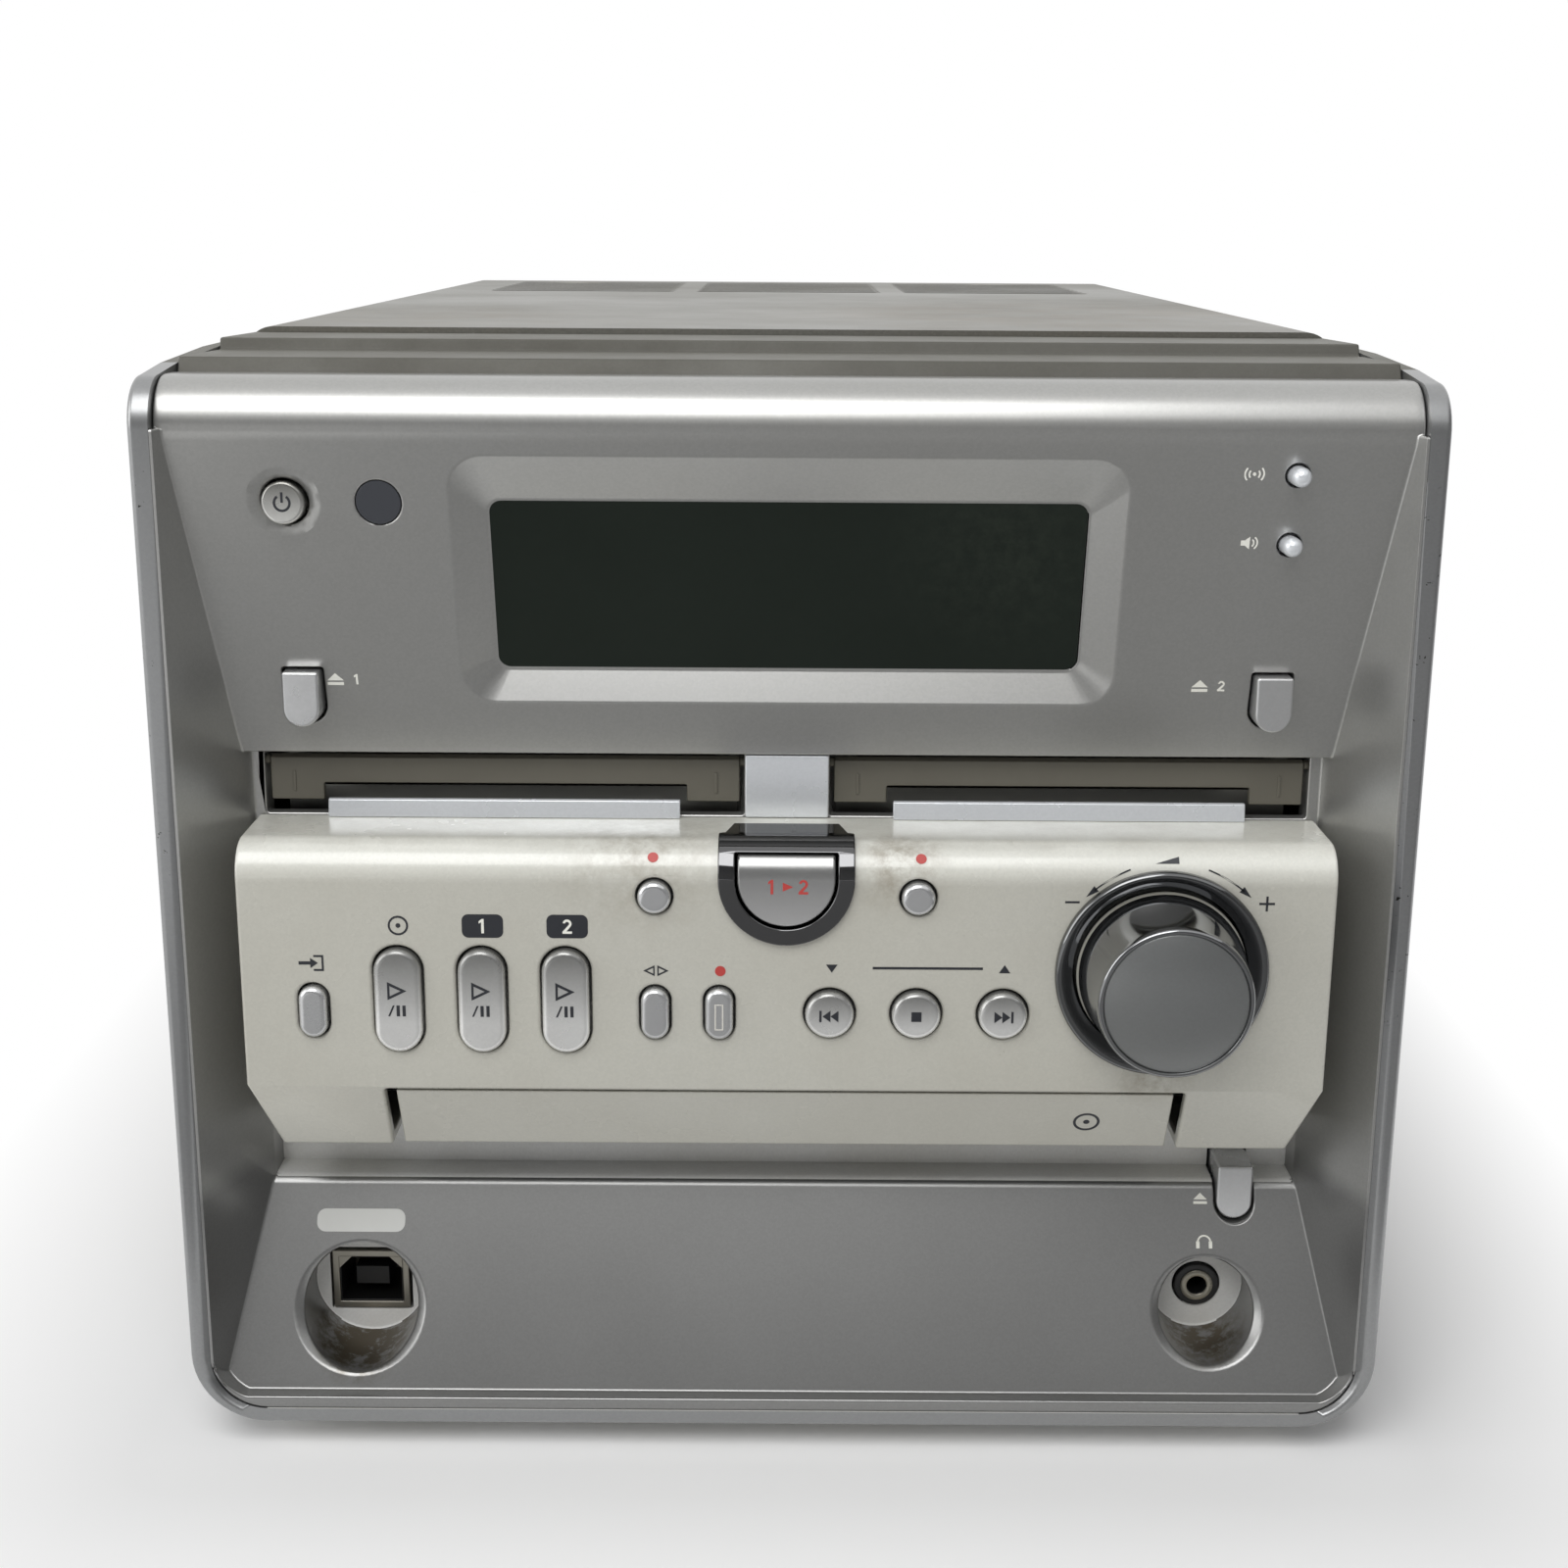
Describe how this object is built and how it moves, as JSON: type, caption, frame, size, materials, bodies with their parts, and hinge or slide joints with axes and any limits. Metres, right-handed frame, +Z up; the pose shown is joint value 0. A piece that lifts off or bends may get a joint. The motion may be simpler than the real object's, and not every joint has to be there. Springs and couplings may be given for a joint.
{
  "type": "mini hi-fi system",
  "caption": "Compact hi-fi unit with a hollowed silver front, raised control panel, dark display, disc tray, two mini-disc slots, volume knob and push buttons.",
  "frame": {"origin": "middle of the footprint on the surface that the feet stand on", "axes": "+Z up, +Y from the front face to the rear panel, +X to the right seen from the front"},
  "size_m": [0.209, 0.3614, 0.1933],
  "materials": {
    "silver_paint": "metallic flake paint, satin",
    "ivory_plastic": "fine satin",
    "smoked_lens": "polished",
    "display_glass": "satin",
    "bright_trim": "satin",
    "chrome_trim": "polished",
    "button_silver": "metallic satin",
    "flap_taupe": "fine satin",
    "cover_paint": "satin metallic paint",
    "bare_steel": "zinc plated",
    "black_plastic": "fine satin",
    "plated_jacks": "plated",
    "board_green": "solder resist",
    "winding": "varnished",
    "gear_white": "natural",
    "foot_rubber": "matt"
  },
  "bodies": {
    "cabinet": {"outer_frame": "silver_paint", "front_panel": "silver_paint", "control_panel": "ivory_plastic", "display_lens": "smoked_lens", "remote_window": "smoked_lens", "display_module": "display_glass", "slot_bridge": "bright_trim", "slot_lips": "bright_trim", "data_socket": "bright_trim", "volume_ring": "chrome_trim", "copy_ring_trim": "chrome_trim", "top_cover": "cover_paint", "base_chassis": "bare_steel", "rear_panel": "bare_steel", "drive_shelf": "bare_steel", "clamp_bridge": "bare_steel", "pickup_rods": "bare_steel", "left_drive": "bare_steel", "right_drive": "bare_steel", "spindle_motor": "bare_steel", "volume_encoder": "bare_steel", "cover_screws": "bare_steel", "phones_jack": "black_plastic", "speaker_terminals": "black_plastic", "mains_inlet": "black_plastic", "loader_frame": "black_plastic", "heat_sink": "black_plastic", "signal_jacks": "plated_jacks", "switch_board": "board_green", "main_board": "board_green", "power_transformer": "winding", "feet": "foot_rubber"},
    "volume_knob": {"volume_knob": "chrome_trim", "encoder_shaft": "bare_steel"},
    "disc_tray": {"disc_tray": "black_plastic", "tray_front": "ivory_plastic"},
    "drive_gear": {"drive_gear": "gear_white"},
    "turntable": {"turntable": "black_plastic"},
    "clamper": {"clamper": "black_plastic"},
    "pickup_sled": {"pickup_sled": "black_plastic"},
    "left_flap": {"left_flap": "flap_taupe"},
    "right_flap": {"right_flap": "flap_taupe"},
    "power_button": {"power_button": "button_silver"},
    "upper_ball_button": {"upper_ball_button": "button_silver"},
    "lower_ball_button": {"lower_ball_button": "button_silver"},
    "left_eject_button": {"left_eject_button": "button_silver"},
    "right_eject_button": {"right_eject_button": "button_silver"},
    "tray_eject_button": {"tray_eject_button": "button_silver"},
    "source_button": {"source_button": "button_silver"},
    "first_play_button": {"first_play_button": "button_silver"},
    "second_play_button": {"second_play_button": "button_silver"},
    "third_play_button": {"third_play_button": "button_silver"},
    "tape_button": {"tape_button": "button_silver"},
    "tape_record_button": {"tape_record_button": "button_silver"},
    "record_mode_button": {"record_mode_button": "button_silver"},
    "record_button": {"record_button": "button_silver"},
    "copy_button": {"copy_button": "button_silver"},
    "skip_back_button": {"skip_back_button": "button_silver"},
    "stop_button": {"stop_button": "button_silver"},
    "skip_forward_button": {"skip_forward_button": "button_silver"}
  },
  "joints": [
    {"name": "power_press", "type": "slide", "parent": "cabinet", "child": "power_button", "axis": [0, 1, 0], "range_m": [0, 0.0008], "stiffness_N_per_m": 600, "springref_m": -0.0004},
    {"name": "upper_ball_press", "type": "slide", "parent": "cabinet", "child": "upper_ball_button", "axis": [0, 1, 0], "range_m": [0, 0.0008], "stiffness_N_per_m": 600, "springref_m": -0.0004},
    {"name": "lower_ball_press", "type": "slide", "parent": "cabinet", "child": "lower_ball_button", "axis": [0, 1, 0], "range_m": [0, 0.0008], "stiffness_N_per_m": 600, "springref_m": -0.0004},
    {"name": "left_eject_press", "type": "slide", "parent": "cabinet", "child": "left_eject_button", "axis": [0, 1, 0], "range_m": [0, 0.0008], "stiffness_N_per_m": 600, "springref_m": -0.0004},
    {"name": "right_eject_press", "type": "slide", "parent": "cabinet", "child": "right_eject_button", "axis": [0, 1, 0], "range_m": [0, 0.0008], "stiffness_N_per_m": 600, "springref_m": -0.0004},
    {"name": "tray_eject_press", "type": "slide", "parent": "cabinet", "child": "tray_eject_button", "axis": [0, 1, 0], "range_m": [0, 0.0008], "stiffness_N_per_m": 600, "springref_m": -0.0004},
    {"name": "source_press", "type": "slide", "parent": "cabinet", "child": "source_button", "axis": [0, 1, 0], "range_m": [0, 0.0008], "stiffness_N_per_m": 600, "springref_m": -0.0004},
    {"name": "first_play_press", "type": "slide", "parent": "cabinet", "child": "first_play_button", "axis": [0, 1, 0], "range_m": [0, 0.0008], "stiffness_N_per_m": 600, "springref_m": -0.0004},
    {"name": "second_play_press", "type": "slide", "parent": "cabinet", "child": "second_play_button", "axis": [0, 1, 0], "range_m": [0, 0.0008], "stiffness_N_per_m": 600, "springref_m": -0.0004},
    {"name": "third_play_press", "type": "slide", "parent": "cabinet", "child": "third_play_button", "axis": [0, 1, 0], "range_m": [0, 0.0008], "stiffness_N_per_m": 600, "springref_m": -0.0004},
    {"name": "tape_press", "type": "slide", "parent": "cabinet", "child": "tape_button", "axis": [0, 1, 0], "range_m": [0, 0.0008], "stiffness_N_per_m": 600, "springref_m": -0.0004},
    {"name": "tape_record_press", "type": "slide", "parent": "cabinet", "child": "tape_record_button", "axis": [0, 1, 0], "range_m": [0, 0.0008], "stiffness_N_per_m": 600, "springref_m": -0.0004},
    {"name": "record_mode_press", "type": "slide", "parent": "cabinet", "child": "record_mode_button", "axis": [0, 1, 0], "range_m": [0, 0.0008], "stiffness_N_per_m": 600, "springref_m": -0.0004},
    {"name": "record_press", "type": "slide", "parent": "cabinet", "child": "record_button", "axis": [0, 1, 0], "range_m": [0, 0.0008], "stiffness_N_per_m": 600, "springref_m": -0.0004},
    {"name": "copy_press", "type": "slide", "parent": "cabinet", "child": "copy_button", "axis": [0, 1, 0], "range_m": [0, 0.0008], "stiffness_N_per_m": 600, "springref_m": -0.0004},
    {"name": "skip_back_press", "type": "slide", "parent": "cabinet", "child": "skip_back_button", "axis": [0, 1, 0], "range_m": [0, 0.0008], "stiffness_N_per_m": 600, "springref_m": -0.0004},
    {"name": "stop_press", "type": "slide", "parent": "cabinet", "child": "stop_button", "axis": [0, 1, 0], "range_m": [0, 0.0008], "stiffness_N_per_m": 600, "springref_m": -0.0004},
    {"name": "skip_forward_press", "type": "slide", "parent": "cabinet", "child": "skip_forward_button", "axis": [0, 1, 0], "range_m": [0, 0.0008], "stiffness_N_per_m": 600, "springref_m": -0.0004},
    {"name": "knob_turn", "type": "hinge", "parent": "cabinet", "child": "volume_knob", "pos_m": [0.063, -0.16525, 0.0906], "axis": [0, -1, 0], "continuous": true},
    {"name": "tray_slide", "type": "slide", "parent": "cabinet", "child": "disc_tray", "axis": [0, -1, 0], "range_m": [0, 0.13]},
    {"name": "gear_spin", "type": "hinge", "parent": "cabinet", "child": "drive_gear", "pos_m": [0.0468, -0.12785, 0.055], "axis": [0, 0, -1], "range_deg": [0, 745]},
    {"name": "turntable_spin", "type": "hinge", "parent": "cabinet", "child": "turntable", "pos_m": [0, -0.09025, 0.054], "axis": [0, 0, 1], "continuous": true},
    {"name": "clamper_spin", "type": "hinge", "parent": "cabinet", "child": "clamper", "pos_m": [0, -0.09025, 0.065], "axis": [0, 0, 1], "continuous": true},
    {"name": "pickup_slide", "type": "slide", "parent": "cabinet", "child": "pickup_sled", "axis": [0, 1, 0], "range_m": [0, 0.034]},
    {"name": "left_flap_swing", "type": "hinge", "parent": "cabinet", "child": "left_flap", "pos_m": [-0.04885, -0.14405, 0.1214], "axis": [1, 0, 0], "range_deg": [0, 88], "stiffness_Nm_per_rad": 0.004, "springref_deg": -17.19},
    {"name": "right_flap_swing", "type": "hinge", "parent": "cabinet", "child": "right_flap", "pos_m": [0.04885, -0.14405, 0.1214], "axis": [1, 0, 0], "range_deg": [0, 88], "stiffness_Nm_per_rad": 0.004, "springref_deg": -17.19}
  ],
  "couplings": [
    {"joint": "gear_spin", "follows": "tray_slide", "rad_per_m": 100}
  ]
}
